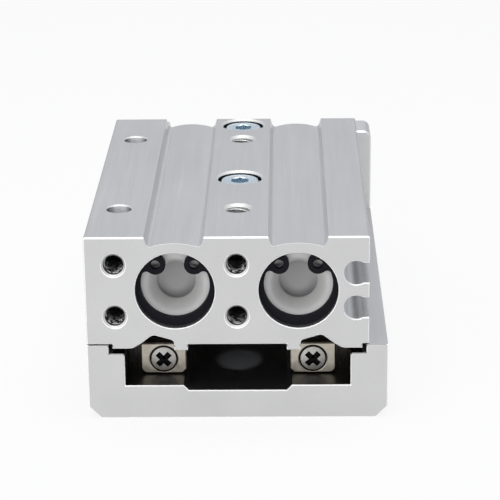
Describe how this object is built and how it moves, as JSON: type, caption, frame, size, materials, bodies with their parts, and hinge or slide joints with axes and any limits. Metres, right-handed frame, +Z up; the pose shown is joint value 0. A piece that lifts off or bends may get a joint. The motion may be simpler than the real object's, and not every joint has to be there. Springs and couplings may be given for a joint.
{
  "type": "pneumatic slide table",
  "caption": "Compact pneumatic slide table: paired pistons in a grooved aluminium body drive a channel-shaped table and its end plate along a crossed-roller guide.",
  "frame": {"origin": "middle of the table's mounting face, the lowest face, with the slide retracted", "axes": "+X across the table towards the face with the sensor grooves, +Y the way the table slides out, +Z up from the table to the body's mounting face"},
  "size_m": [0.05, 0.081, 0.032],
  "materials": {
    "anodised_aluminium": "clear anodised, satin",
    "hardened_steel": "ground",
    "nickel_plate": "nickel plated",
    "cross_screw_steel": "plated",
    "zinc_steel": "bright zinc",
    "black_spring_steel": "blackened",
    "cap_resin": "moulded",
    "rod_steel": "hard chromed",
    "cover_alloy": "turned",
    "piston_alloy": "turned",
    "bush_steel": "turned",
    "seal_rubber": "moulded",
    "bumper_urethane": "moulded",
    "magnet_compound": "bonded ferrite",
    "cage_resin": "moulded"
  },
  "bodies": {
    "housing": {"cylinder_body": "anodised_aluminium", "guide_block": "hardened_steel", "guide_block_screws": "zinc_steel", "head_cap_left": "cap_resin", "head_cap_right": "cap_resin", "head_seal_left": "seal_rubber", "head_seal_right": "seal_rubber", "head_retaining_ring_left": "black_spring_steel", "head_retaining_ring_right": "black_spring_steel", "head_bumper_left": "bumper_urethane", "head_bumper_right": "bumper_urethane", "rod_cover_left": "cover_alloy", "rod_cover_right": "cover_alloy", "rod_cover_seal_left": "seal_rubber", "rod_cover_seal_right": "seal_rubber", "rod_retaining_ring_left": "black_spring_steel", "rod_retaining_ring_right": "black_spring_steel", "rod_seal_left": "seal_rubber", "rod_seal_right": "seal_rubber", "rod_bumper_left": "bumper_urethane", "rod_bumper_right": "bumper_urethane"},
    "table": {"table": "anodised_aluminium", "end_plate": "anodised_aluminium", "end_plate_screws": "zinc_steel", "rail_screws": "zinc_steel", "rail_end_screws": "cross_screw_steel", "rail_left": "hardened_steel", "rail_right": "hardened_steel", "rail_end_piece_rear_left": "nickel_plate", "rail_end_piece_rear_right": "nickel_plate", "rail_end_piece_front_left": "nickel_plate", "rail_end_piece_front_right": "nickel_plate", "piston_left": "piston_alloy", "piston_right": "piston_alloy", "piston_seal_left": "seal_rubber", "piston_seal_right": "seal_rubber", "piston_magnet_left": "magnet_compound", "piston_magnet_right": "magnet_compound", "piston_nut_left": "zinc_steel", "piston_nut_right": "zinc_steel", "piston_rod_left": "rod_steel", "piston_rod_right": "rod_steel", "floating_bush_left": "bush_steel", "floating_bush_right": "bush_steel", "rod_screw_left": "zinc_steel", "rod_screw_right": "zinc_steel"},
    "roller_cages": {"roller_cage_left": "cage_resin", "roller_cage_right": "cage_resin", "rollers_left": "hardened_steel", "rollers_right": "hardened_steel"}
  },
  "joints": [
    {"name": "table_slide", "type": "slide", "parent": "housing", "child": "table", "axis": [0, 1, 0], "range_m": [0, 0.03]},
    {"name": "cage_slide", "type": "slide", "parent": "housing", "child": "roller_cages", "axis": [0, 1, 0], "range_m": [0, 0.015]}
  ],
  "couplings": [
    {"joint": "cage_slide", "follows": "table_slide", "ratio": 0.5}
  ]
}
